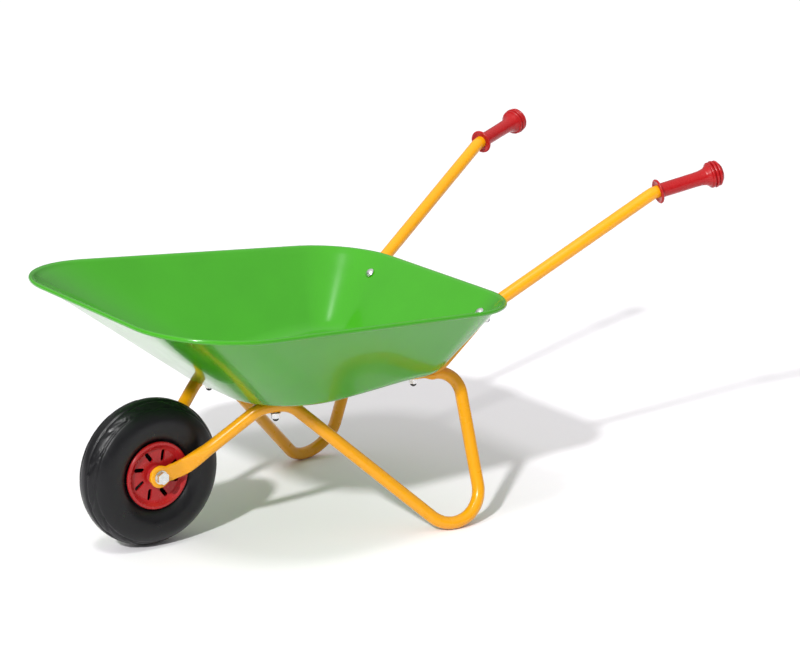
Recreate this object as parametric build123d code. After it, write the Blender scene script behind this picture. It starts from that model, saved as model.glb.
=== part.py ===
from build123d import *
import os
from math import atan2, cos, hypot, radians, sin, sqrt, tan

# A child's metal wheelbarrow. Millimetres; +X forward (wheel end), +Y left, +Z up.
# The origin is on the floor, under the middle of the barrow's bounding box.

# ---- wheel -------------------------------------------------------------------
AXLE_X = 296.05           # the axle, ahead of the origin
WHEEL_R = 86.5            # tyre's outer radius, and the axle's height
TYRE_HALF = 26.0          # half the tyre's width
TYRE_WALL = 4.0
TYRE_FOOT_Y = 18.5        # half the width between the tyre's feet on the rim
RIM_SEAT_R = 36.0         # radius that the tyre's feet sit on
FLANGE_R = 39.5           # red hub's outer flange
FLANGE_Y = 21.2           # flange's outer face
HUB_WALL = 2.5
HUB_BOSS_R = 10.0
HUB_BOSS_Y = 19.5         # end face of the hub's boss
DISC_Y = 16.5             # outer face of the slotted disc
SLOTS = 8
SLOT_WIDTH, SLOT_IN_R, SLOT_OUT_R = 5.0, 17.0, 30.5

# ---- axle --------------------------------------------------------------------
AXLE_R = 4.0              # M8 bolt
SLEEVE_R = 6.0            # steel sleeve that the hub turns on
RUNNING_GAP = 0.06        # radial clearance of the hub on its sleeve
FORK_IN_Y = 22.6          # inner face of the fork's flattened ends
FORK_FLAT = 4.2           # thickness of the flattened tube ends
AXLE_WASHER_R, AXLE_WASHER_T = 8.0, 1.4
M8_FLATS, M8_HEAD_H, M8_NUT_H = 13.0, 5.3, 7.5

# ---- tubes -------------------------------------------------------------------
TUBE_R = 7.5
TUBE_WALL = 1.2
BEND_R = 39.0             # centreline radius of the leg's bends
HIP_R = 32.0              # centreline radius of the two bends at the front bolt

# ---- tray --------------------------------------------------------------------
SHEET = 1.0
BEAD_R = 2.7
LIP = 5.0                 # flared lip, from the wall's top to the bead's centre
RIM_FRONT = (74.3, 217.6, 290.4)      # rolled rim's front corner, before rounding
RIM_REAR = (-405.0, 183.0, 258.4)
FLOOR_FRONT = (-88.0, 125.0, 167.5)   # tray floor's front corner, before rounding
FLOOR_REAR = (-330.0, 121.0, 178.5)
RIM_CORNER_FRONT, RIM_CORNER_REAR = 105.0, 88.0
FLOOR_CORNER_FRONT, FLOOR_CORNER_REAR = 85.0, 32.0
FLOOR_FILLET = 26.0

# ---- bolts through the tray -------------------------------------------------------
M6_R = 3.0
HEAD_R, HEAD_H = 6.2, 3.2
HEAD_GAP = 0.1
M6_FLATS, M6_NUT_H = 10.0, 5.0
CAP_R, CAP_H = 4.0, 4.2
M6_WASHER_R, M6_WASHER_T = 6.0, 1.2
FRONT_BOLT = (-124.0, 72.2)           # ahead of the axle, and to the side
REAR_BOLT = (-304.0, 89.0)
WALL_BOLT = (-383.0, 112.0)
WALL_LIFT = 1.9           # the rear wall's rounded corners rise above its flat middle at the bolts
HOLE_GAP = 0.3            # radial clearance of the bolt holes

# ---- handle tubes and grips ---------------------------------------------------------
GRIP_BEND = (-590.6, 171.5, 367.3)    # corner between the straight handle and the grip
GRIP_AIM = (-76.1, 21.5, 17.8)        # direction of the grip
HANDLE_DROP = 6.6         # tube's axis below the rim's bead where it passes under it
HANDLE_BEND_R = 30.0
STRAP_WALL, STRAP_FLOOR = 5.0, 3.6    # pressed tube's thickness, under the wall and the floor
STRAP_HALF = 9.7          # half the pressed tube's width
STRAP_SLACK = 0.8         # the wall strap's taper, taken up under the nut
STRAP_START = 6.0         # where the strap begins, down the wall from its top
GRIP_START, GRIP_LENGTH = 5.5, 85.0
GRIP_R, GRIP_FLANGE_R, GRIP_BULB_R = 8.6, 14.7, 16.2
GRIP_BORE_LENGTH = 70.0
GRIP_RINGS_LENGTH = 9.0   # end of the grip that the rings stand on

# ---- lower tubes --------------------------------------------------------------------
FORK_BEND = (-33.0, 0.0, 92.8)        # where the flattened end turns outwards
FORK_EYE_R, FORK_NECK, FORK_NECK_FILLET = 13.0, 18.6, 12.0
FORK_ROUND = (-54.0, 38.5, 112.5)     # from here on the tube is round
HIP_FRONT = (-107.3, 68.4)
HIP_REAR = (-142.2, 75.8)
FOOT = (-353.5, 182.2)                # corner of the two legs, before rounding
LEG_TOP = (-359.5, 99.9, 171.5)
LEG_BEND_R = 29.0
LEG_FLAT, LEG_FLAT_LENGTH = 4.4, 14.0  # pressed rear end under the handle's strap


def at(x, y, z, side=1):
    """A point given from the axle's middle along X, mirrored for the right side."""
    return Vector(AXLE_X + x, side * y, z)


def unit(v):
    return v.normalized()


def slope(low, high):
    return (high[2] - low[2]) / (high[0] - low[0])


FLOOR_SLOPE = slope(FLOOR_REAR, FLOOR_FRONT)
WALL_TOP = (RIM_REAR[0] + LIP, 0.0, RIM_REAR[2])
WALL_SLOPE = slope(WALL_TOP, FLOOR_REAR)


def floor_z(x):
    return FLOOR_FRONT[2] + FLOOR_SLOPE * (x - FLOOR_FRONT[0])


def wall_z(x):
    return WALL_TOP[2] + WALL_SLOPE * (x - WALL_TOP[0])


def rounded_quad(front, rear, front_r, rear_r, grow=0.0):
    """Closed outline through two mirrored corners, rounded, grown outwards in its plane."""
    fx, fy, fz = front
    rx, ry, rz = rear
    rise = (fz - rz) / (fx - rx)
    ahead, behind = fx + grow, rx - grow
    corners = [(ahead, fy + grow), (behind, ry + grow), (behind, -ry - grow), (ahead, -fy - grow)]
    points = [Vector(AXLE_X + x, y, rz + rise * (x - rx)) for x, y in corners]
    radii = [front_r + grow, rear_r + grow, rear_r + grow, front_r + grow]
    return FilletPolyline(*points, radius=radii, close=True)


def tray_solid(grow):
    """The space inside the tray's sheet, grown outwards by the sheet's thickness."""
    side_tilt = atan2(RIM_FRONT[2] - FLOOR_FRONT[2], RIM_FRONT[1] - LIP - FLOOR_FRONT[1])
    spread = grow / sin(side_tilt)
    top = rounded_quad(RIM_FRONT, RIM_REAR, RIM_CORNER_FRONT, RIM_CORNER_REAR, spread - LIP)
    low = [(x, y, z - grow) for x, y, z in (FLOOR_FRONT, FLOOR_REAR)]
    shift = spread - grow / tan(side_tilt)
    foot = rounded_quad(low[0], low[1], FLOOR_CORNER_FRONT, FLOOR_CORNER_REAR, shift)
    body = loft([Face(Wire(foot.edges())), Face(Wire(top.edges()))], ruled=True)
    bottom = body.faces().sort_by(Axis.Z)[0]
    return fillet(bottom.edges(), FLOOR_FILLET + grow)


def hole(point, direction, radius, length):
    """A cylinder centred on a point, for drilling."""
    plane = Plane(origin=point - unit(direction) * length / 2, z_dir=direction)
    return Solid.make_cylinder(radius, length, plane)


def rod(point, direction, radius, length):
    return Solid.make_cylinder(radius, length, Plane(origin=point, z_dir=direction))


def hexagon(point, direction, flats, height, bore=0.0):
    plane = Plane(origin=point, z_dir=direction)
    nut = extrude(plane * RegularPolygon(flats / 2, 6, major_radius=False), height)
    corner_cut = rod(point, direction, flats / 2 * 1.1, height)
    nut = nut & corner_cut
    return nut - rod(point, direction, bore, height) if bore else nut


def washer(point, direction, radius, bore, height):
    return rod(point, direction, radius, height) - rod(point, direction, bore, height)


# ---- where the tray's bolts go -----------------------------------------------------
FLOOR_NORMAL = unit(Vector(-FLOOR_SLOPE, 0, 1))
WALL_NORMAL = unit(Vector(-WALL_SLOPE, 0, 1))


def bolt_seats(side):
    """Each bolt's point on the tray's inner face, its direction and what it clamps."""
    front = at(FRONT_BOLT[0], FRONT_BOLT[1], floor_z(FRONT_BOLT[0]), side)
    rear = at(REAR_BOLT[0], REAR_BOLT[1], floor_z(REAR_BOLT[0]), side)
    wall = at(WALL_BOLT[0], WALL_BOLT[1], wall_z(WALL_BOLT[0]), side) + WALL_NORMAL * WALL_LIFT
    along = (WALL_BOLT[0] - WALL_TOP[0]) / (FLOOR_REAR[0] - WALL_TOP[0])
    strap = STRAP_WALL + (STRAP_FLOOR - STRAP_WALL) * along
    return {
        "front_floor": (front, FLOOR_NORMAL, SHEET + 2 * TUBE_R + 0.1),
        "rear_floor": (rear, FLOOR_NORMAL, SHEET + STRAP_FLOOR + LEG_FLAT + 0.15),
        "rear_wall": (wall, WALL_NORMAL, WALL_LIFT + SHEET + strap + STRAP_SLACK),
    }


# ---- tray ----------------------------------------------------------------------------
def rim_bead(radius):
    outline = rounded_quad(RIM_FRONT, RIM_REAR, RIM_CORNER_FRONT, RIM_CORNER_REAR)
    path = Wire(outline.edges())
    start = path @ 0
    return sweep(Plane(origin=start, z_dir=path % 0) * Circle(radius), path=path)


def rim_lip(grow):
    """The flat ring between the wall's top and the bead."""
    rings = [Face(Wire(rounded_quad(RIM_FRONT, RIM_REAR, RIM_CORNER_FRONT, RIM_CORNER_REAR, g).edges()))
             for g in (0.0, -LIP)]
    normal = rings[0].normal_at()
    down = normal if normal.Z < 0 else -normal
    return extrude(rings[0] - rings[1], SHEET + grow, dir=down)


def make_tray():
    tray = tray_solid(SHEET) - tray_solid(0.0) + rim_lip(0.0) + rim_bead(BEAD_R)
    for side in (1, -1):
        for point, normal, _ in bolt_seats(side).values():
            tray -= hole(point, normal, M6_R + HOLE_GAP, 8 * SHEET)
    return tray


# ---- tubes ---------------------------------------------------------------------------
def round_tube(points, radii):
    """A bent tube of constant section through the points."""
    path = Wire(FilletPolyline(*points, radius=radii).edges())
    plane = Plane(origin=path @ 0, z_dir=path % 0)
    section = plane * (Circle(TUBE_R) - Circle(TUBE_R - TUBE_WALL))
    return sweep(section, path=path)


def oval(point, normal, wide_way, half_wide, half_thin):
    """An elliptical section, its long axis along wide_way."""
    z = unit(normal)
    x = unit(wide_way - z * wide_way.dot(z))
    return Plane(origin=point, x_dir=x, z_dir=z) * Ellipse(half_wide, half_thin)


def foot_corner(top, front, side):
    """The legs' corner under the foot, low enough for the bend to touch the floor."""
    height = -40.0
    for _ in range(6):
        corner = at(FOOT[0], FOOT[1], height, side)
        a, b = unit(top - corner), unit(front - corner)
        half = radians(a.get_angle(b)) / 2
        centre = corner + unit(a + b) * (BEND_R / sin(half))
        normal = unit(a.cross(b))
        lowest = centre.Z - BEND_R * sqrt(1 - normal.Z ** 2) - TUBE_R
        height -= lowest
    return corner


def make_lower_tube(side):
    plate_y = FORK_IN_Y + FORK_FLAT / 2
    seats = bolt_seats(side)
    hip_z = seats["front_floor"][0].Z - SHEET - TUBE_R - 0.1
    axle = at(0, plate_y, WHEEL_R, side)
    bend = at(FORK_BEND[0], plate_y, FORK_BEND[2], side)
    start = at(*FORK_ROUND, side)
    hip_front = at(*HIP_FRONT, hip_z, side)
    hip_rear = at(*HIP_REAR, hip_z, side)
    top = at(*LEG_TOP, side)
    foot = foot_corner(top, hip_rear, side)
    rear = seats["rear_floor"][0] - FLOOR_NORMAL * (SHEET + STRAP_FLOOR + LEG_FLAT / 2 + 0.1)
    run_in = unit(rear - top)
    flat_from = rear - run_in * LEG_FLAT_LENGTH
    round_end = top + run_in * (LEG_BEND_R + 1.5)
    body = round_tube([start, hip_front, hip_rear, foot, top, round_end], [HIP_R, HIP_R, BEND_R, LEG_BEND_R])
    up = Vector(0, 0, 1)
    sideways = Vector(0, 1, 0)
    # fork's flattened end: a plate round the axle, and the change from flat to round
    first_run = unit(hip_front - start)
    plate_run = unit(bend - axle)
    outwards = unit(start - bend)
    middle = (bend + start) * 0.5
    body += loft([
        oval(bend, (plate_run + outwards) * 0.5, up, FORK_NECK / 2 - 0.2, FORK_FLAT / 2),
        oval(middle, outwards, up, FORK_NECK / 2 - 0.1, (TUBE_R + FORK_FLAT / 2) / 2),
        oval(start, first_run, up, TUBE_R, TUBE_R),
    ])
    plate_plane = Plane(origin=axle - sideways * FORK_FLAT / 2, x_dir=plate_run, z_dir=sideways)
    length = (bend - axle).length
    plate = Circle(FORK_EYE_R) + Pos(length / 2 + 0.5, 0) * Rectangle(length + 1.0, FORK_NECK)
    plate = fillet([v for v in plate.vertices() if v.X < FORK_EYE_R - 1], FORK_NECK_FILLET)
    body += extrude(plate_plane * plate, FORK_FLAT)
    # rear end: flattened under the handle's strap
    across = run_in.cross(up)
    body += loft([
        oval(round_end, run_in, across, TUBE_R, TUBE_R),
        oval(flat_from, run_in, across, STRAP_HALF - 0.3, LEG_FLAT / 2),
    ])
    end_plane = Plane(origin=rear - FLOOR_NORMAL * LEG_FLAT / 2, x_dir=run_in, z_dir=FLOOR_NORMAL)
    end = Circle(STRAP_HALF) + Pos(-7.5, 0) * Rectangle(15, 2 * STRAP_HALF)
    body += extrude(end_plane * end, LEG_FLAT)
    body -= strap_layer(side)
    body -= tray_solid(SHEET + 0.05)
    body -= hole(axle, sideways, AXLE_R + HOLE_GAP, 40)
    for name in ("front_floor", "rear_floor"):
        point, normal, _ = seats[name]
        body -= hole(point, normal, M6_R + HOLE_GAP, 60)
    return body


def strap_layer(side):
    """The pressed end of the handle tube: a band that follows the rear wall and the floor."""
    gap = SHEET + 0.05
    lift = WALL_LIFT
    wall, floor = WALL_NORMAL, FLOOR_NORMAL
    corner = Vector(FLOOR_REAR[0], 0, FLOOR_REAR[2])
    half = radians(wall.get_angle(floor)) / 2
    mid = unit(wall + floor)
    high = Vector(*WALL_TOP) + unit(Vector(1, 0, WALL_SLOPE)) * STRAP_START
    low = Vector(REAR_BOLT[0] + 14.0, 0, floor_z(REAR_BOLT[0] + 14.0))
    upper = [high + wall * lift, corner - mid * (gap / cos(half)), low - floor * gap]
    bend_low = corner - mid * ((gap + STRAP_FLOOR) / cos(half))
    lower = [high - wall * (gap + STRAP_WALL), bend_low, low - floor * (gap + STRAP_FLOOR)]
    inner_r = FLOOR_FILLET + SHEET + 0.3
    top_line = FilletPolyline(*upper, radius=inner_r)
    bottom_line = FilletPolyline(*lower, radius=inner_r + STRAP_FLOOR)
    ends = [Line(upper[0], lower[0]), Line(upper[2], lower[2])]
    face = Face(Wire(top_line.edges() + bottom_line.edges() + [ends[0].edge(), ends[1].edge()]))
    layer = extrude(face, 260, dir=(0, 1, 0), both=True).moved(Location((AXLE_X, 0, 0)))
    a = at(RIM_REAR[0], handle_y(RIM_REAR[0]), 0, side)
    b = at(*REAR_BOLT, 0, side)
    run = unit(b - a)
    a -= run * 20
    band = Pos((b - a).length / 2, 0) * Rectangle((b - a).length, 2 * STRAP_HALF)
    band += Pos((b - a).length, 0) * Circle(STRAP_HALF)
    prism = extrude(Plane(origin=a, x_dir=run, z_dir=(0, 0, 1)) * band, 400)
    return layer & prism


def handle_y(x):
    return GRIP_BEND[1] + (x - GRIP_BEND[0]) * (REAR_BOLT[1] - GRIP_BEND[1]) / (REAR_BOLT[0] - GRIP_BEND[0])


def grip_axis(side):
    return unit(Vector(GRIP_AIM[0], side * GRIP_AIM[1], GRIP_AIM[2]))


def make_handle_tube(side):
    corner = at(*GRIP_BEND, side)
    under_rim = at(RIM_REAR[0], handle_y(RIM_REAR[0]), RIM_REAR[2] - HANDLE_DROP, side)
    run = unit(under_rim - corner)
    hollow_end = under_rim - run * 24.0
    tip = corner + grip_axis(side) * (GRIP_START + GRIP_BORE_LENGTH - 0.5)
    body = round_tube([tip, corner, hollow_end], [HANDLE_BEND_R])
    body += rod(hollow_end, run, TUBE_R, 24.0)
    wall_run = unit(Vector(1, -side * (handle_y(0) - handle_y(1)), WALL_SLOPE))
    across = wall_run.cross(WALL_NORMAL)
    wall_top = at(WALL_TOP[0], handle_y(WALL_TOP[0]), WALL_TOP[2], side)
    centre = wall_top - WALL_NORMAL * (SHEET + 0.05 + STRAP_WALL / 2) + wall_run * (STRAP_START + 2.0)
    body += loft([
        oval(under_rim - run, run, across, TUBE_R, TUBE_R),
        oval(centre, wall_run, across, STRAP_HALF - 0.2, STRAP_WALL / 2 - 0.1),
    ])
    body += strap_layer(side)
    body -= tray_solid(SHEET + 0.05)
    body -= rim_bead(BEAD_R + 0.3)
    body -= rim_lip(0.3)
    seats = bolt_seats(side)
    for name in ("rear_floor", "rear_wall"):
        point, normal, _ = seats[name]
        body -= hole(point, normal, M6_R + HOLE_GAP, 60)
    return body


# ---- grips ---------------------------------------------------------------------------
def make_grip(side):
    """Turned about its own axis: flange, barrel, flare, grooved bulb and domed end."""
    start = at(*GRIP_BEND, side) + grip_axis(side) * GRIP_START
    bulb = GRIP_LENGTH - GRIP_RINGS_LENGTH
    outline = [(0, 0), (GRIP_FLANGE_R - 1.2, 0), (GRIP_FLANGE_R, 1.2), (GRIP_FLANGE_R, 2.6),
               (GRIP_FLANGE_R - 1.0, 3.6), (GRIP_R + 1.6, 4.0), (GRIP_R, 6.0), (GRIP_R, bulb - 22)]
    flare = [(GRIP_R + 1.8, bulb - 14), (GRIP_BULB_R - 3.0, bulb - 8)]
    outline += flare
    for ring in range(3):
        low = bulb - 8 + 4.4 * ring
        outline += [(GRIP_BULB_R - 3.0, low), (GRIP_BULB_R - 0.8 * abs(ring - 1), low + 1.0),
                    (GRIP_BULB_R - 0.8 * abs(ring - 1), low + 3.2), (GRIP_BULB_R - 3.0, low + 3.9)]
    outline += [(GRIP_BULB_R - 3.2, GRIP_LENGTH - 3.0), (GRIP_BULB_R - 6.5, GRIP_LENGTH - 0.8),
                (0, GRIP_LENGTH)]
    tidy = [outline[0]]
    for point in outline[1:]:
        if hypot(point[0] - tidy[-1][0], point[1] - tidy[-1][1]) > 0.05:
            tidy.append(point)
    face = make_face(Plane.XZ * Polyline(*tidy, close=True))
    grip = revolve(face, Axis.Z, 360)
    grip -= rod(Vector(0, 0, -1), Vector(0, 0, 1), TUBE_R + 0.05, GRIP_BORE_LENGTH + 1)
    return Plane(origin=start, z_dir=grip_axis(side)).location * grip


# ---- wheel ---------------------------------------------------------------------------
def turned(points):
    """Revolve an outline of (radius, y) points about the axle."""
    flat = [Vector(r, y, 0) for r, y in points]
    solid = revolve(make_face(Polyline(*flat, close=True)), Axis.Y, 360)
    return solid.moved(Location((AXLE_X, 0, WHEEL_R)))


def make_tyre():
    """A hollow tyre: round section, open towards the hub, with feet on the rim's seats."""
    crown_r = WHEEL_R - TYRE_HALF
    outer = Pos(crown_r, 0) * Circle(TYRE_HALF)
    outer += Pos((crown_r + RIM_SEAT_R) / 2, 0) * Rectangle(crown_r - RIM_SEAT_R, 2 * TYRE_FOOT_Y)
    inner = Pos(crown_r, 0) * Circle(TYRE_HALF - TYRE_WALL)
    mouth = Rectangle(crown_r - RIM_SEAT_R + 2, 2 * (TYRE_FOOT_Y - 5))
    inner += Pos((crown_r + RIM_SEAT_R) / 2 - 1, 0) * mouth
    section = outer - inner
    solid = revolve(section, Axis.Y, 360)
    return solid.moved(Location((AXLE_X, 0, WHEEL_R)))


def slot_cutters(side):
    mid = (SLOT_IN_R + SLOT_OUT_R) / 2
    shape = SlotOverall(SLOT_OUT_R - SLOT_IN_R, SLOT_WIDTH)
    cutters = []
    for k in range(SLOTS):
        plane = Plane(origin=at(0, DISC_Y - 8, WHEEL_R, side), x_dir=(1, 0, 0), z_dir=(0, side, 0))
        face = plane * (Rot(0, 0, 360 / SLOTS * (k + 0.5)) * Pos(mid, 0) * Rot(0, 0, 14) * shape)
        cutters.append(extrude(face, 16))
    return cutters


def make_hub(side):
    """One half of the hub: bored boss, slotted disc, barrel with the tyre's seat, flange."""
    bore = SLEEVE_R + RUNNING_GAP
    barrel = RIM_SEAT_R - 0.05
    outline = [(bore, 0), (HUB_BOSS_R, 0), (HUB_BOSS_R, DISC_Y - HUB_WALL),
               (barrel - HUB_WALL, DISC_Y - HUB_WALL), (barrel - HUB_WALL, 0), (barrel, 0),
               (barrel, TYRE_FOOT_Y + 0.05),
               (FLANGE_R, TYRE_FOOT_Y + 0.05), (FLANGE_R, FLANGE_Y - 0.8), (FLANGE_R - 0.8, FLANGE_Y),
               (FLANGE_R - 3.4, FLANGE_Y), (barrel - HUB_WALL - 1.5, DISC_Y + 1.0),
               (barrel - HUB_WALL - 3.5, DISC_Y),
               (HUB_BOSS_R + 2.0, DISC_Y), (HUB_BOSS_R, DISC_Y + 1.2), (HUB_BOSS_R - 0.6, HUB_BOSS_Y),
               (bore, HUB_BOSS_Y)]
    half = turned([(r, side * y) for r, y in outline])
    for cutter in slot_cutters(side):
        half -= cutter
    return half


# ---- axle ----------------------------------------------------------------------------
LEFT = Vector(0, 1, 0)
FORK_OUT_Y = FORK_IN_Y + FORK_FLAT


def axle_piece(y):
    return at(0, y, WHEEL_R)


def make_axle_sleeve():
    bore = AXLE_R + 0.2
    length = 2 * (FORK_IN_Y - 0.05)
    return washer(axle_piece(-length / 2), LEFT, SLEEVE_R, bore, length)


def make_axle_spacers():
    """A ring at each end of the hub's boss keeps the hub between the fork's ends."""
    gap = 0.3
    length = FORK_IN_Y - 0.1 - HUB_BOSS_Y - gap
    rings = [washer(axle_piece(HUB_BOSS_Y + gap), LEFT, HUB_BOSS_R - 1, SLEEVE_R + 0.05, length),
             washer(axle_piece(-HUB_BOSS_Y - gap), -LEFT, HUB_BOSS_R - 1, SLEEVE_R + 0.05, length)]
    return Compound(children=rings)


def make_axle_washers():
    rings = [washer(axle_piece(s * (FORK_OUT_Y + 0.05)), LEFT * s, AXLE_WASHER_R, AXLE_R + 0.2, AXLE_WASHER_T)
             for s in (1, -1)]
    return Compound(children=rings)


def make_axle_bolt():
    seat = FORK_OUT_Y + AXLE_WASHER_T + 0.1
    head = hexagon(axle_piece(seat), LEFT, M8_FLATS, M8_HEAD_H)
    return head + rod(axle_piece(seat), -LEFT, AXLE_R, 2 * seat + M8_NUT_H + 2.0)


def make_axle_nut():
    seat = FORK_OUT_Y + AXLE_WASHER_T + 0.1
    return hexagon(axle_piece(-seat), -LEFT, M8_FLATS, M8_NUT_H, AXLE_R + 0.02)


# ---- tray bolts ----------------------------------------------------------------------
def dome(point, normal, radius, height):
    """A spherical cap standing on a point."""
    ball = (radius ** 2 + height ** 2) / (2 * height)
    sphere = Solid.make_sphere(ball, Plane(origin=point + normal * (height - ball), z_dir=normal))
    return rod(point, normal, radius + 1, height + 1) & sphere


def make_bolts(place):
    bolts = []
    inside = tray_solid(-0.05)
    for side in (1, -1):
        point, normal, grip = bolt_seats(side)[place]
        length = grip + M6_WASHER_T + M6_NUT_H + 2.5
        head = dome(point + normal * HEAD_GAP, normal, HEAD_R, HEAD_H) & inside
        bolts.append(head + rod(point + normal * 2 * HEAD_GAP, -normal, M6_R, length))
    return Compound(children=bolts)


def make_bolt_washers():
    rings = []
    for side in (1, -1):
        for point, normal, grip in bolt_seats(side).values():
            seat = point - normal * (grip + 0.05)
            rings.append(washer(seat, -normal, M6_WASHER_R, M6_R + 0.2, M6_WASHER_T))
    return Compound(children=rings)


def make_nuts(place):
    nuts = []
    for side in (1, -1):
        point, normal, grip = bolt_seats(side)[place]
        seat = point - normal * (grip + M6_WASHER_T + 0.1)
        nuts.append(hexagon(seat, -normal, M6_FLATS, M6_NUT_H, M6_R + 0.02))
    return Compound(children=nuts)


def make_nut_caps(place):
    caps = []
    for side in (1, -1):
        point, normal, grip = bolt_seats(side)[place]
        seat = point - normal * (grip + M6_WASHER_T + M6_NUT_H + 0.15)
        caps.append(dome(seat, -normal, CAP_R, CAP_H) - rod(seat + normal, -normal, M6_R + 0.05, 3.5))
    return Compound(children=caps)


# ---- every piece -----------------------------------------------------------------------
def pieces():
    made = {"tray": make_tray()}
    for name, side in (("left", 1), ("right", -1)):
        made[name + "_lower_tube"] = make_lower_tube(side)
        made[name + "_handle_tube"] = make_handle_tube(side)
        made[name + "_grip"] = make_grip(side)
        made[name + "_hub_half"] = make_hub(side)
    made["tyre"] = make_tyre()
    made["axle_sleeve"] = make_axle_sleeve()
    made["axle_spacers"] = make_axle_spacers()
    made["axle_washers"] = make_axle_washers()
    made["axle_bolt"] = make_axle_bolt()
    made["axle_nut"] = make_axle_nut()
    for place in ("front_floor", "rear_floor", "rear_wall"):
        made[place + "_bolts"] = make_bolts(place)
        made[place + "_nuts"] = make_nuts(place)
        made[place + "_nut_caps"] = make_nut_caps(place)
    made["bolt_washers"] = make_bolt_washers()
    return made


os.makedirs("parts", exist_ok=True)
for name, shape in pieces().items():
    export_step(shape, "parts/" + name + ".step")
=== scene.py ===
from math import atan2, cos, degrees, hypot, pi, radians, sin, sqrt, tan

import bpy
from mathutils import Matrix, Vector


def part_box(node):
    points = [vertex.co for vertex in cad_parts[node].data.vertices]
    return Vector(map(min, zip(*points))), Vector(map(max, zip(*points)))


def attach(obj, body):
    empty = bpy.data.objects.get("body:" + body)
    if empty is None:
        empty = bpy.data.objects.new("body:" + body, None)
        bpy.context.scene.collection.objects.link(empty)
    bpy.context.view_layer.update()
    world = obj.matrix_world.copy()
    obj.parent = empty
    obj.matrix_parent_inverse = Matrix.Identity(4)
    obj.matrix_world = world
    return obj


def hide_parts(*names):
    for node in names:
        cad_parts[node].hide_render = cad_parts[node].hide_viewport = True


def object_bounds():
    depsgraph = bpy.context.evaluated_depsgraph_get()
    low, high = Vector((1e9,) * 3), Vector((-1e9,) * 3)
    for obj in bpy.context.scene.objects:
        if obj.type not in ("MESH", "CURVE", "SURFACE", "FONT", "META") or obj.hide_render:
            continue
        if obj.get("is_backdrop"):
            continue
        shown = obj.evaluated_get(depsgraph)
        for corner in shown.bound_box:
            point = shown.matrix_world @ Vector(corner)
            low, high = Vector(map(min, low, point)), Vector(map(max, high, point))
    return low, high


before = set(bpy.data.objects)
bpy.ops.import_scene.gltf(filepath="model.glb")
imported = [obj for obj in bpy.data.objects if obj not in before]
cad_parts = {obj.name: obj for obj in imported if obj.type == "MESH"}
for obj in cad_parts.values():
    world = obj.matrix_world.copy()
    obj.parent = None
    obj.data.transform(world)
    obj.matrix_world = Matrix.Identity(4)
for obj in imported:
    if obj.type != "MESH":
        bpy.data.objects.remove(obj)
CAD_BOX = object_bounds()

# A child's metal wheelbarrow, in metres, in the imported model's frame: +X forward, +Y left, +Z up.
MM = 0.001
WHEEL_LOW, WHEEL_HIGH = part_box("tyre")
AXLE = (WHEEL_LOW + WHEEL_HIGH) / 2
WHEEL_R = (WHEEL_HIGH.z - WHEEL_LOW.z) / 2


def at(x, y, z, side=1):
    """A point given in millimetres ahead of the axle, mirrored for the right side."""
    return Vector((AXLE.x + x * MM, side * y * MM, z * MM))


# ---- materials -----------------------------------------------------------------------
def material(name, color, roughness, metallic=0.0):
    mat = bpy.data.materials.new(name)
    mat.use_nodes = True
    tree = mat.node_tree
    shader = tree.nodes["Principled BSDF"]
    shader.inputs["Base Color"].default_value = (*color, 1.0)
    shader.inputs["Roughness"].default_value = roughness
    shader.inputs["Metallic"].default_value = metallic
    return mat, tree, shader


def noise(tree, scale, detail=3.0, roughness=0.55):
    place = tree.nodes.new("ShaderNodeTexCoord")
    node = tree.nodes.new("ShaderNodeTexNoise")
    node.inputs["Scale"].default_value = scale
    node.inputs["Detail"].default_value = detail
    node.inputs["Roughness"].default_value = roughness
    tree.links.new(place.outputs["Object"], node.inputs["Vector"])
    return node.outputs["Fac"]


def ranged(tree, value, low, high, from_low=0.3, from_high=0.7):
    node = tree.nodes.new("ShaderNodeMapRange")
    node.inputs["From Min"].default_value = from_low
    node.inputs["From Max"].default_value = from_high
    node.inputs["To Min"].default_value = low
    node.inputs["To Max"].default_value = high
    tree.links.new(value, node.inputs["Value"])
    return node.outputs["Result"]


def mixed(tree, factor, first, second):
    node = tree.nodes.new("ShaderNodeMix")
    node.data_type = "RGBA"
    tree.links.new(factor, node.inputs["Factor"])
    node.inputs["A"].default_value = (*first, 1.0)
    node.inputs["B"].default_value = (*second, 1.0)
    return node.outputs["Result"]


def bumped(tree, shader, height, strength, distance):
    node = tree.nodes.new("ShaderNodeBump")
    node.inputs["Strength"].default_value = strength
    node.inputs["Distance"].default_value = distance
    tree.links.new(height, node.inputs["Height"])
    tree.links.new(node.outputs["Normal"], shader.inputs["Normal"])


def shade(color, factor):
    return tuple(c * factor for c in color)


def painted(name, color, roughness, orange_peel, coat, coat_roughness):
    """Paint on metal: nearly even colour, a little uneven gloss, orange peel under a clear coat."""
    mat, tree, shader = material(name, color, roughness)
    tint = mixed(tree, ranged(tree, noise(tree, 14, 4), 0, 1), shade(color, 0.96), shade(color, 1.04))
    tree.links.new(tint, shader.inputs["Base Color"])
    gloss = ranged(tree, noise(tree, 45, 5), roughness * 0.85, roughness * 1.2)
    tree.links.new(gloss, shader.inputs["Roughness"])
    bumped(tree, shader, noise(tree, 380, 2), orange_peel, 0.0003)
    shader.inputs["Specular IOR Level"].default_value = 0.3
    shader.inputs["Coat Weight"].default_value = coat
    shader.inputs["Coat Roughness"].default_value = coat_roughness
    return mat


def moulded(name, color, roughness):
    """Coloured plastic with a fine moulded grain."""
    mat, tree, shader = material(name, color, roughness)
    tint = mixed(tree, ranged(tree, noise(tree, 60, 4), 0, 1), shade(color, 0.96), shade(color, 1.04))
    tree.links.new(tint, shader.inputs["Base Color"])
    gloss = ranged(tree, noise(tree, 160, 4), roughness * 0.8, roughness * 1.25)
    tree.links.new(gloss, shader.inputs["Roughness"])
    bumped(tree, shader, noise(tree, 1500, 2), 0.05, 0.0002)
    shader.inputs["Specular IOR Level"].default_value = 0.35
    return mat


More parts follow.
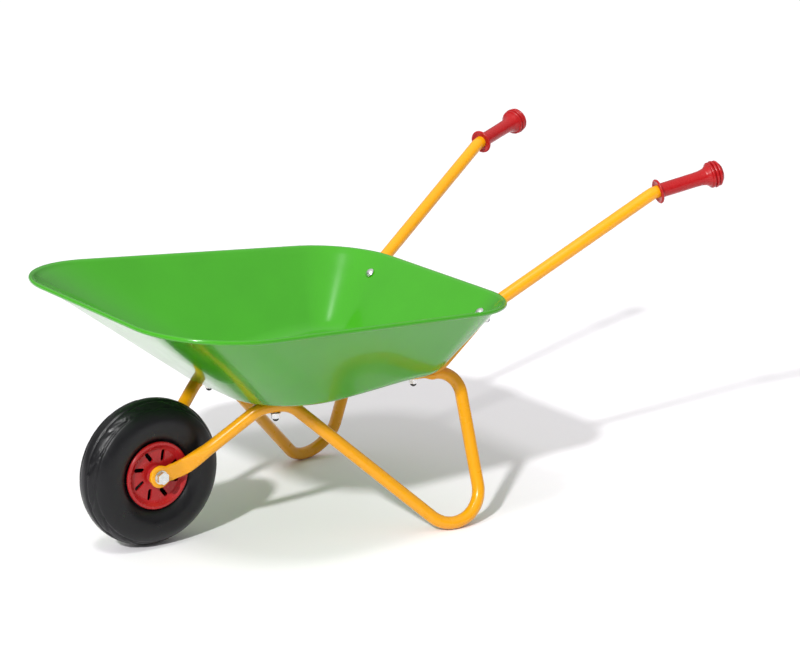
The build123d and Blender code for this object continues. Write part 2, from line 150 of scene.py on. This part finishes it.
def zinc():
    """Bright zinc plate: slightly cloudy metal with fine scratches."""
    first, second = (0.60, 0.62, 0.64), (0.78, 0.77, 0.74)
    mat, tree, shader = material("zinc_plate", first, 0.3, 1.0)
    tint = mixed(tree, ranged(tree, noise(tree, 180, 5), 0, 1), first, second)
    tree.links.new(tint, shader.inputs["Base Color"])
    gloss = ranged(tree, noise(tree, 700, 4), 0.2, 0.38)
    tree.links.new(gloss, shader.inputs["Roughness"])
    bumped(tree, shader, noise(tree, 2500, 3), 0.15, 0.0001)
    return mat


def tyre_plastic():
    """Black moulded tyre: soft sheen, faint grain and a few pale dust specks."""
    color = (0.0045, 0.0045, 0.0055)
    mat, tree, shader = material("tyre_black", color, 0.42)
    shader.inputs["Specular IOR Level"].default_value = 0.3
    dust = ranged(tree, noise(tree, 420, 3, 0.7), 0, 0.6, 0.7, 0.8)
    tint = mixed(tree, dust, color, (0.075, 0.075, 0.075))
    tree.links.new(tint, shader.inputs["Base Color"])
    gloss = ranged(tree, noise(tree, 90, 5), 0.26, 0.42)
    tree.links.new(gloss, shader.inputs["Roughness"])
    bumped(tree, shader, noise(tree, 900, 4), 0.3, 0.0003)
    return mat


GREEN = painted("green_enamel", (0.040, 0.300, 0.005), 0.2, 0.04, 0.4, 0.04)
YELLOW = painted("yellow_powder_coat", (0.74, 0.315, 0.002), 0.28, 0.05, 0.3, 0.08)
RED_GRIP = moulded("red_grip_plastic", (0.36, 0.005, 0.007), 0.26)
RED_HUB = moulded("red_hub_plastic", (0.36, 0.010, 0.012), 0.24)
ZINC = zinc()
TYRE = tyre_plastic()
CAP = moulded("dark_cap_plastic", (0.02, 0.02, 0.022), 0.35)


# ---- mesh helpers ----------------------------------------------------------------------
def new_object(name, vertices, faces, mat, body, replaced=()):
    mesh = bpy.data.meshes.new(name)
    mesh.from_pydata([tuple(v) for v in vertices], [], faces)
    mesh.validate()
    mesh.materials.append(mat)
    for polygon in mesh.polygons:
        polygon.use_smooth = True
    obj = bpy.data.objects.new(name, mesh)
    bpy.context.scene.collection.objects.link(obj)
    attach(obj, body)
    if replaced:
        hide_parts(*replaced)
    return obj


def grid_faces(rows, columns, wrap_rows=False, wrap_columns=True):
    """Quads of a grid of vertices, laid out row by row."""
    faces = []
    for i in range(rows if wrap_rows else rows - 1):
        for j in range(columns if wrap_columns else columns - 1):
            a, b = i, (i + 1) % rows
            c, d = j, (j + 1) % columns
            faces.append((a * columns + c, a * columns + d, b * columns + d, b * columns + c))
    return faces


def recalc(obj):
    import bmesh
    mesh = bmesh.new()
    mesh.from_mesh(obj.data)
    bmesh.ops.recalc_face_normals(mesh, faces=mesh.faces)
    mesh.to_mesh(obj.data)
    mesh.free()


def arc(centre, radius, start, end, steps):
    """Points on an arc in a plane, angles in degrees."""
    angles = [radians(start + (end - start) * k / steps) for k in range(steps + 1)]
    return [(centre[0] + radius * cos(a), centre[1] + radius * sin(a)) for a in angles]


# ---- tray --------------------------------------------------------------------------------
SHEET = 1.0
BEAD_R = 2.7
LIP = 5.0
RIM_FRONT, RIM_REAR = (74.3, 217.6, 290.4), (-405.0, 183.0, 258.4)
FLOOR_FRONT, FLOOR_REAR = (-88.0, 125.0, 167.5), (-330.0, 121.0, 178.5)
RIM_CORNERS = (105.0, 88.0)
FLOOR_CORNERS = (85.0, 32.0)
FLOOR_FILLET = 26.0
CORNER_STEPS, SIDE_STEPS = 22, 22


def quad_outline(front, rear, corners, grow):
    """Points round a rounded, mirrored quadrilateral, and the outward direction at each."""
    fx, fy, rx, ry = front[0] + grow, front[1] + grow, rear[0] - grow, rear[1] + grow
    spots = [(fx, fy, corners[0] + grow), (rx, ry, corners[1] + grow),
             (rx, -ry, corners[1] + grow), (fx, -fy, corners[0] + grow)]
    arcs = []
    for k, (x, y, radius) in enumerate(spots):
        here = Vector((x, y))
        before, after = Vector(spots[k - 1][:2]), Vector(spots[(k + 1) % 4][:2])
        to_before, to_after = (before - here).normalized(), (after - here).normalized()
        half = to_before.angle(to_after) / 2
        centre = here + (to_before + to_after).normalized() * (radius / sin(half))
        first = here + to_before * (radius / tan(half)) - centre
        last = here + to_after * (radius / tan(half)) - centre
        a, b = atan2(first.y, first.x), atan2(last.y, last.x)
        turn = (b - a + pi) % (2 * pi) - pi
        angles = [a + turn * s / CORNER_STEPS for s in range(CORNER_STEPS + 1)]
        arcs.append([(centre + Vector((cos(t), sin(t))) * radius, Vector((cos(t), sin(t)))) for t in angles])
    points = []
    for k, corner in enumerate(arcs):
        points += corner
        start, end = corner[-1], arcs[(k + 1) % 4][0]
        for s in range(1, SIDE_STEPS):
            points.append((start[0].lerp(end[0], s / SIDE_STEPS), start[1]))
    rise = (front[2] - rear[2]) / (front[0] - rear[0])
    return [(Vector((p.x, p.y, rear[2] + rise * (p.x - rear[0]))), Vector((n.x, n.y, 0))) for p, n in points]


def wall_and_fillet(top, foot, floor_normal, steps=10):
    """Points from the wall's top down the wall, round the fillet, to the floor."""
    down = (foot - top).normalized()
    inward = Vector((-down.x, -down.y, 0)) * -1
    inward = (inward - floor_normal * inward.dot(floor_normal)).normalized()
    turn = down.angle(inward)
    reach = FLOOR_FILLET * tan(turn / 2)
    start = foot - down * reach
    line = [top.lerp(start, k / 14) for k in range(1, 15)]
    centre_way = (inward - down * inward.dot(down)).normalized()
    centre = start + centre_way * FLOOR_FILLET
    curve = []
    for k in range(1, steps + 1):
        a = turn * k / steps
        curve.append(centre - centre_way * FLOOR_FILLET * cos(a) + down * FLOOR_FILLET * sin(a))
    return line + curve


def make_tray():
    rim = quad_outline(RIM_FRONT, RIM_REAR, RIM_CORNERS, 0.0)
    wall_top = quad_outline(RIM_FRONT, RIM_REAR, RIM_CORNERS, -LIP)
    foot = quad_outline(FLOOR_FRONT, FLOOR_REAR, FLOOR_CORNERS, 0.0)
    slope = (RIM_FRONT[2] - RIM_REAR[2]) / (RIM_FRONT[0] - RIM_REAR[0])
    floor_slope = (FLOOR_FRONT[2] - FLOOR_REAR[2]) / (FLOOR_FRONT[0] - FLOOR_REAR[0])
    up = Vector((-slope, 0, 1)).normalized()
    floor_normal = Vector((-floor_slope, 0, 1)).normalized()
    # rolled bead and lip, as (outwards, upwards) from the bead's centre, inner face
    bead = arc((0, 0), BEAD_R, -200, 100, 22)
    lip = [(-1.9, 2.35), (-3.3, 1.75), (-4.4, 0.75), (-LIP - 0.35, -0.55)]
    columns = []
    for (centre, out), (top, _), (low, _) in zip(rim, wall_top, foot):
        out = (out - up * out.dot(up)).normalized()
        profile = [centre + out * a + up * b for a, b in bead + lip]
        wall = wall_and_fillet(top, low, floor_normal)
        profile += [top.lerp(wall[0], 0.4)] + wall
        columns.append(profile)
    middle = Vector(((FLOOR_FRONT[0] + FLOOR_REAR[0]) / 2, 0, 0))
    middle.z = FLOOR_FRONT[2] + floor_slope * (middle.x - FLOOR_FRONT[0])
    for profile in columns:
        edge = profile[-1]
        profile += [edge.lerp(middle, k / 12) for k in range(1, 12)]
    rows = len(columns[0])
    vertices = [at(*columns[j][i]) for i in range(rows) for j in range(len(columns))]
    faces = grid_faces(rows, len(columns))
    vertices.append(at(*middle))
    last = (rows - 1) * len(columns)
    for j in range(len(columns)):
        faces.append((last + j, last + (j + 1) % len(columns), len(vertices) - 1))
    tray = new_object("tray_shell", vertices, faces, GREEN, "frame", ("tray",))
    if tray.data.polygons[-1].normal.z < 0:
        tray.data.flip_normals()
    sheet = tray.modifiers.new("sheet", "SOLIDIFY")
    sheet.thickness = SHEET * MM
    sheet.offset = -1.0


make_tray()


# ---- turned pieces -------------------------------------------------------------------------
def revolved(name, outline, steps, start, axis, mat, body, replaced):
    """Turn an outline of (radius, distance along the axis) points about an axis, in millimetres."""
    axis = axis.normalized()
    first = axis.orthogonal().normalized()
    second = axis.cross(first)
    vertices, rings = [], []
    for radius, along in outline:
        centre = start + axis * (along * MM)
        if radius < 0.01:
            rings.append([len(vertices)])
            vertices.append(centre)
            continue
        rings.append(list(range(len(vertices), len(vertices) + steps)))
        for k in range(steps):
            a = 2 * pi * k / steps
            vertices.append(centre + (first * cos(a) + second * sin(a)) * (radius * MM))
    faces = []
    for low, high in zip(rings, rings[1:]):
        for k in range(steps):
            quad = [low[k % len(low)], low[(k + 1) % len(low)], high[(k + 1) % len(high)], high[k % len(high)]]
            faces.append(tuple(dict.fromkeys(quad)))
    obj = new_object(name, vertices, faces, mat, body, replaced)
    recalc(obj)
    return obj


def bent(points, radius, steps=5):
    """Round the inner corners of an outline; each corner keeps within its neighbours."""
    smooth = [points[0]]
    for before, here, after in zip(points, points[1:], points[2:]):
        here, before, after = Vector(here), Vector(before), Vector(after)
        cut = min(radius, (before - here).length * 0.49, (after - here).length * 0.49)
        start = here + (before - here).normalized() * cut
        end = here + (after - here).normalized() * cut
        for k in range(steps + 1):
            t = k / steps
            smooth.append(tuple(start * (1 - t) ** 2 + here * 2 * t * (1 - t) + end * t ** 2))
    smooth.append(points[-1])
    return smooth


GRIP_BEND, GRIP_AIM = (-590.6, 171.5, 367.3), (-76.1, 21.5, 17.8)
GRIP_START, GRIP_LENGTH, GRIP_BORE = 5.5, 85.0, 70.0
GRIP_R, GRIP_FLANGE_R, GRIP_BULB_R, TUBE_R = 8.6, 14.7, 16.2, 7.5


def make_grip(name, side):
    """Dished flange, barrel, flare into a bulb of three rings, domed end, and the tube's bore."""
    aim_way = Vector((GRIP_AIM[0], side * GRIP_AIM[1], GRIP_AIM[2])).normalized()
    start = at(*GRIP_BEND, side) + aim_way * (GRIP_START * MM)
    outline = [(0, GRIP_BORE), (TUBE_R + 0.05, GRIP_BORE), (TUBE_R + 0.05, 0.9), (GRIP_R + 0.6, 1.4),
               (GRIP_FLANGE_R - 1.6, 0.0), (GRIP_FLANGE_R, 0.9), (GRIP_FLANGE_R, 2.5),
               (GRIP_FLANGE_R - 1.4, 3.3), (GRIP_R + 1.3, 3.9), (GRIP_R, 6.4), (GRIP_R + 0.1, 48),
               (GRIP_R + 0.4, 57), (GRIP_R + 1.6, 63), (GRIP_BULB_R - 3.0, 67.8)]
    for ring in range(3):
        low = 68.0 + 4.4 * ring
        top = GRIP_BULB_R - 0.7 * abs(ring - 1)
        outline += [(GRIP_BULB_R - 3.0, low), (top - 0.5, low + 0.5), (top, low + 1.4), (top, low + 2.7),
                    (top - 0.5, low + 3.5), (GRIP_BULB_R - 3.0, low + 3.9)]
    outline += [(GRIP_BULB_R - 3.4, 81.6), (GRIP_BULB_R - 5.2, 83.6), (GRIP_BULB_R - 9.0, 84.7), (0, GRIP_LENGTH)]
    revolved(name, bent(outline, 0.8, 3), 72, start, aim_way, RED_GRIP, "frame",
             (name.replace("_cover", ""),))


make_grip("left_grip_cover", 1)
make_grip("right_grip_cover", -1)

# ---- tyre ------------------------------------------------------------------------------------
TYRE_HALF, TYRE_WALL, RIM_SEAT_R, TYRE_FOOT_Y = 26.0, 4.0, 36.0, 18.5
LUGS, STEPS_PER_LUG = 12, 30
RIDGE_ANGLE = 42.0        # where the shoulder ridge stands on the section, up from its side
CENTRE_RIB = 74.0         # half of the crown between the two grooves that run round


def smooth_step(low, high, value):
    t = min(max((value - low) / (high - low), 0.0), 1.0)
    return t * t * (3 - 2 * t)


def groove(distance, half_width, edge):
    """1 in the middle of a groove, 0 outside it."""
    return 1 - smooth_step(half_width, half_width + edge, abs(distance))


def tyre_depth(section, turn):
    """How far the moulded tread lies below the tyre's round section, in millimetres."""
    side = min(section, 180 - section)      # 0 at the widest point, 90 at the crown
    across = 1 if section < 90 else -1
    tread = smooth_step(RIDGE_ANGLE, RIDGE_ANGLE + 3, side)
    depth = 0.7 * tread
    depth += 0.6 * groove(side - RIDGE_ANGLE - 4.5, 1.2, 2.0)
    depth += 1.2 * groove(side - CENTRE_RIB, 1.5, 2.0)
    reach = (side - RIDGE_ANGLE) / (CENTRE_RIB - RIDGE_ANGLE)
    if 0 < reach < 1:
        pitch = 360 / LUGS
        sweep = pitch * (1.9 * reach - 1.1 * reach * reach)
        phase = ((turn * 1.0 + across * pitch / 4 + sweep) / pitch) % 1.0
        cut = groove((phase - 0.5) * pitch, 1.2 + 1.2 * reach, 1.6)
        depth += 0.9 * cut * smooth_step(0, 0.12, reach)
        short = smooth_step(0.1, 0.3, reach) * (1 - smooth_step(0.6, 0.8, reach))
        depth += 0.6 * short * groove((phase - 0.86) * pitch, 0.6, 1.2)
    return depth


def make_tyre():
    crown = WHEEL_R / MM - TYRE_HALF
    lowest, count = -52, 96
    samples = [lowest + (180 - 2 * lowest) * k / count for k in range(count + 1)]
    rings = []
    steps = LUGS * STEPS_PER_LUG
    inner = [(crown + (TYRE_HALF - TYRE_WALL) * sin(radians(a)), (TYRE_HALF - TYRE_WALL) * cos(radians(a)))
             for a in range(228, -49, -12)]
    for j in range(steps):
        turn = 360 * j / steps
        ring = [(RIM_SEAT_R, TYRE_FOOT_Y - 4.5), (RIM_SEAT_R, TYRE_FOOT_Y - 0.6), (RIM_SEAT_R + 0.6, TYRE_FOOT_Y)]
        for section in samples:
            depth = tyre_depth(section, turn) if 20 < section < 160 else 0.0
            reach = TYRE_HALF - depth
            ring.append((crown + reach * sin(radians(section)), reach * cos(radians(section))))
        ring += [(RIM_SEAT_R + 0.6, -TYRE_FOOT_Y), (RIM_SEAT_R, -TYRE_FOOT_Y + 0.6), (RIM_SEAT_R, -TYRE_FOOT_Y + 4.5)]
        ring += inner
        rings.append(ring)
    vertices = []
    for j, ring in enumerate(rings):
        a = 2 * pi * j / steps
        for radius, along in ring:
            vertices.append(AXLE + Vector((radius * cos(a), along, radius * sin(a))) * MM)
    faces = grid_faces(steps, len(rings[0]), wrap_rows=True)
    tyre = new_object("tyre_tread", vertices, faces, TYRE, "wheel", ("tyre",))
    recalc(tyre)


make_tyre()

# ---- lower tubes -----------------------------------------------------------------------------
FORK_Y, FORK_FLAT, FORK_EYE_R, FORK_NECK = 24.7, 4.2, 13.0, 18.6
FORK_BEND = (-33.0, FORK_Y, 92.8)
FORK_OUT = (-54.0, 44.0, 115.5)
HIP_FRONT, HIP_REAR, HIP_R = (-107.3, 68.4), (-142.2, 75.8), 32.0
FOOT, BEND_R = (-353.5, 182.2), 39.0
LEG_TOP, LEG_BEND_R, LEG_FLAT = (-359.5, 99.9, 171.5), 29.0, 4.4
REAR_BOLT, STRAP_HALF, STRAP_FLOOR = (-304.0, 89.0), 9.7, 3.6
FLOOR_SLOPE = (FLOOR_FRONT[2] - FLOOR_REAR[2]) / (FLOOR_FRONT[0] - FLOOR_REAR[0])
FLOOR_NORMAL = Vector((-FLOOR_SLOPE, 0, 1)).normalized()


def floor_z(x):
    return FLOOR_FRONT[2] + FLOOR_SLOPE * (x - FLOOR_FRONT[0])


def foot_height(top, hip):
    """Height of the legs' corner that lets the bend between them touch the floor."""
    height = -40.0
    for _ in range(6):
        corner = Vector((FOOT[0], FOOT[1], height))
        a, b = (top - corner).normalized(), (hip - corner).normalized()
        centre = corner + (a + b).normalized() * (BEND_R / sin(a.angle(b) / 2))
        turn = a.cross(b).normalized()
        height -= centre.z - BEND_R * sqrt(1 - turn.z ** 2) - TUBE_R
    return height


def rounded_path(points, radii, spacing=4.0):
    """A path through corners rounded to the given radii, as points about evenly spaced."""
    path = [points[0]]
    for before, here, after, radius in zip(points, points[1:], points[2:], radii):
        a, b = (before - here).normalized(), (after - here).normalized()
        half = a.angle(b) / 2
        centre = here + (a + b).normalized() * (radius / sin(half))
        start, end = here + a * (radius / tan(half)), here + b * (radius / tan(half))
        swing = pi - 2 * half
        u = (start - centre) / radius
        v = (end - centre - u * radius * cos(swing)) / (radius * sin(swing))
        count = max(6, int(radius * swing / 2.0))
        run = (start - path[-1]).length
        steps = max(1, int(run / spacing))
        path += [path[-1].lerp(start, k / steps) for k in range(1, steps)]
        path += [centre + (u * cos(swing * k / count) + v * sin(swing * k / count)) * radius
                 for k in range(count + 1)]
    run = (points[-1] - path[-1]).length
    steps = max(1, int(run / spacing))
    last = path[-1]
    return path + [last.lerp(points[-1], k / steps) for k in range(1, steps + 1)]


def section_ring(centre, wide, thin, half_wide, half_thin, power, count=32):
    """A closed section between an ellipse and a rounded rectangle."""
    ring = []
    for k in range(count):
        a = 2 * pi * k / count
        c, d = cos(a), sin(a)
        ring.append(centre + wide * (half_wide * abs(c) ** (2 / power) * (1 if c > 0 else -1))
                    + thin * (half_thin * abs(d) ** (2 / power) * (1 if d > 0 else -1)))
    return ring


def make_lower_tube(name, side):
    hip_z = floor_z(-124.0) - SHEET - TUBE_R - 0.1
    eye = Vector((0, FORK_Y, WHEEL_R / MM))
    bend = Vector(FORK_BEND)
    hip_front, hip_rear = Vector((*HIP_FRONT, hip_z)), Vector((*HIP_REAR, hip_z))
    top = Vector(LEG_TOP)
    foot = Vector((*FOOT, foot_height(top, hip_rear)))
    bolt = Vector((*REAR_BOLT, floor_z(REAR_BOLT[0])))
    rear = bolt - FLOOR_NORMAL * (SHEET + STRAP_FLOOR + LEG_FLAT / 2 + 0.15)
    run_in = (rear - top).normalized()
    plate_way = (bend - eye).normalized()
    front_end = eye - plate_way * (FORK_EYE_R - 0.05)
    rear_end = rear + run_in * (STRAP_HALF - 0.05)
    path = rounded_path([front_end, bend, Vector(FORK_OUT), hip_front, hip_rear, foot, top, rear_end],
                        [20.0, 60.0, HIP_R, HIP_R, BEND_R, LEG_BEND_R], 2.5)
    total_rear = (rear_end - top).length
    rings = []
    wide = Vector((0, 0, 1))
    for k, point in enumerate(path):
        ahead = (path[min(k + 1, len(path) - 1)] - path[max(k - 1, 0)]).normalized()
        wide = (wide - ahead * wide.dot(ahead)).normalized()
        thin = ahead.cross(wide)
        from_eye = (point - eye).dot(plate_way)
        half_wide, half_thin, power = TUBE_R, TUBE_R, 2.0
        along = (point - eye).length
        if k < len(path) // 4 and along < 75:
            t = smooth_step(30.0, 66.0, along if from_eye > 0 else 0)
            neck = FORK_NECK / 2 + 0.5 * smooth_step(14, 30, along)
            if along < FORK_EYE_R:
                round_eye = sqrt(max(FORK_EYE_R ** 2 - along ** 2, 0.4))
                neck = round_eye if from_eye < 0 else max(neck, round_eye)
            elif from_eye > 0:
                neck += 1.4 * (1 - smooth_step(FORK_EYE_R - 4, FORK_EYE_R + 6, along))
            half_wide = neck + (TUBE_R - neck) * t
            half_thin = FORK_FLAT / 2 + (TUBE_R - FORK_FLAT / 2) * t
            power = 5.0 + (2.0 - 5.0) * t
        elif k > len(path) * 3 // 4:
            left = (rear_end - point).length
            if left < total_rear - 8 and (point - rear_end).dot(run_in) <= 0:
                t = smooth_step(18.0, 42.0, left)
                end_round = sqrt(max(STRAP_HALF ** 2 - max(STRAP_HALF - left, 0) ** 2, 0.3))
                half_wide = end_round + (TUBE_R - end_round) * t
                half_thin = LEG_FLAT / 2 + (TUBE_R - LEG_FLAT / 2) * t
                power = 5.0 + (2.0 - 5.0) * t
                level = run_in.cross(FLOOR_NORMAL).normalized()
                blend = 1 - t
                target = level if level.dot(wide) > 0 else -level
                turned = (wide * (1 - blend) + target * blend)
                turned = (turned - ahead * turned.dot(ahead)).normalized()
                rings.append(section_ring(point, turned, ahead.cross(turned), half_wide, half_thin, power))
                continue
        rings.append(section_ring(point, wide, thin, half_wide, half_thin, power))
    count = len(rings[0])
    vertices = [at(*v, side) for ring in rings for v in ring]
    faces = grid_faces(len(rings), count)
    faces += [tuple(range(count)), tuple(range(len(vertices) - count, len(vertices)))]
    obj = new_object(name, vertices, faces, YELLOW, "frame", (name.replace("_sweep", ""),))
    recalc(obj)
    obj.data.polygons[-1].use_smooth = obj.data.polygons[-2].use_smooth = False


make_lower_tube("left_lower_tube_sweep", 1)
make_lower_tube("right_lower_tube_sweep", -1)

# ---- inside of the hub: the dark wall behind the slots -------------------------------------------
HUB_BOSS_R, HUB_BARREL_R = 10.0, 33.4
hub_wall = [(HUB_BOSS_R + 0.1, -2.5), (HUB_BOSS_R + 0.1, 2.5), (HUB_BOSS_R + 2.5, 1.2), (HUB_BARREL_R - 2.5, 1.2),
            (HUB_BARREL_R, 2.5), (HUB_BARREL_R, -2.5), (HUB_BARREL_R - 2.5, -1.2), (HUB_BOSS_R + 2.5, -1.2),
            (HUB_BOSS_R + 0.1, -2.5)]
revolved("hub_inner_wall", hub_wall, 72, AXLE, Vector((0, 1, 0)), TYRE, "wheel", ())

# ---- CAD nodes that keep their shape --------------------------------------------------------
KEEP = {
    "left_handle_tube": YELLOW, "right_handle_tube": YELLOW,
    "left_hub_half": RED_HUB, "right_hub_half": RED_HUB,
    "axle_sleeve": ZINC, "axle_spacers": ZINC, "axle_washers": ZINC, "axle_bolt": ZINC, "axle_nut": ZINC,
    "bolt_washers": ZINC,
}
for place in ("front_floor", "rear_floor", "rear_wall"):
    KEEP[place + "_bolts"] = ZINC
    KEEP[place + "_nuts"] = ZINC
    KEEP[place + "_nut_caps"] = CAP
EDGE_SIZES = {"yellow_powder_coat": 0.8, "red_hub_plastic": 0.4}
for name, mat in KEEP.items():
    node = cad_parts[name]
    node.data.materials.clear()
    node.data.materials.append(mat)
    edges = node.modifiers.new("soft_edges", "BEVEL")
    edges.width = EDGE_SIZES.get(mat.name, 0.35) * MM
    edges.segments = 2
    edges.limit_method = "ANGLE"
    edges.angle_limit = radians(35)

# ---- floor, lights and camera ----------------------------------------------------------------
FLOOR_COLOR = (0.905, 0.885, 0.91)


def make_floor():
    mat, tree, shader = material("studio_floor", FLOOR_COLOR, 0.6)
    tint = mixed(tree, ranged(tree, noise(tree, 3, 3), 0, 1), shade(FLOOR_COLOR, 0.995), FLOOR_COLOR)
    tree.links.new(tint, shader.inputs["Base Color"])
    half = 14.0
    corners = [(-half, -half, 0), (half, -half, 0), (half, half, 0), (-half, half, 0)]
    mesh = bpy.data.meshes.new("studio_floor")
    mesh.from_pydata(corners, [], [(0, 1, 2, 3)])
    mesh.materials.append(mat)
    floor = bpy.data.objects.new("studio_floor", mesh)
    bpy.context.scene.collection.objects.link(floor)
    floor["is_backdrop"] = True


def make_lights():
    sun = bpy.data.lights.new("key", "SUN")
    sun.energy = 2.85
    sun.angle = radians(3.5)
    key = bpy.data.objects.new("key", sun)
    azimuth, elevation = radians(31.5), radians(36.0)
    towards = Vector((cos(azimuth) * cos(elevation), sin(azimuth) * cos(elevation), sin(elevation)))
    key.rotation_euler = towards.to_track_quat("Z", "Y").to_euler()
    bpy.context.scene.collection.objects.link(key)
    world = bpy.data.worlds.new("studio")
    world.use_nodes = True
    tree = world.node_tree
    background = tree.nodes["Background"]
    place = tree.nodes.new("ShaderNodeTexCoord")
    split = tree.nodes.new("ShaderNodeSeparateXYZ")
    tree.links.new(place.outputs["Generated"], split.inputs["Vector"])
    sky = ranged(tree, split.outputs["Z"], 0.1, 0.85, 0.05, 0.8)
    tree.links.new(sky, background.inputs["Strength"])
    background.inputs["Color"].default_value = (1.0, 1.0, 1.0, 1.0)
    bpy.context.scene.world = world
    lamp = bpy.data.lights.new("softbox", "AREA")
    lamp.shape, lamp.size, lamp.size_y, lamp.energy = "RECTANGLE", 0.3, 0.5, 24
    box = bpy.data.objects.new("softbox", lamp)
    azimuth, elevation = radians(25), radians(62)
    way = Vector((cos(azimuth) * cos(elevation), sin(azimuth) * cos(elevation), sin(elevation)))
    box.location = way * 3.0
    box.rotation_euler = way.to_track_quat("Z", "Y").to_euler()
    bpy.context.scene.collection.objects.link(box)
    bpy.context.scene.view_settings.view_transform = "Standard"


def make_camera():
    """The camera stands ahead of the barrow, to its left, and looks down a little."""
    camera = bpy.data.cameras.new("camera")
    camera.sensor_width = 36.0
    camera.lens = 2745.6 / 800 * 36.0
    obj = bpy.data.objects.new("camera", camera)
    yaw, pitch, roll = radians(-125.46), radians(15.67), radians(-0.37)
    ahead = Vector((cos(pitch) * cos(yaw), cos(pitch) * sin(yaw), -sin(pitch)))
    right = ahead.cross(Vector((0, 0, 1))).normalized()
    down = ahead.cross(right)
    right, down = right * cos(roll) + down * sin(roll), down * cos(roll) - right * sin(roll)
    turn = Matrix((right, -down, -ahead)).transposed().to_4x4()
    obj.matrix_world = Matrix.Translation(at(1484.0, 2573.0, 1079.9)) @ turn
    bpy.context.scene.collection.objects.link(obj)
    bpy.context.scene.camera = obj


make_floor()
make_lights()
make_camera()


def as_list(value):
    return [as_list(v) for v in value] if hasattr(value, "__len__") else float(value)


{"cad": as_list(CAD_BOX), "visual": as_list(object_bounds())}
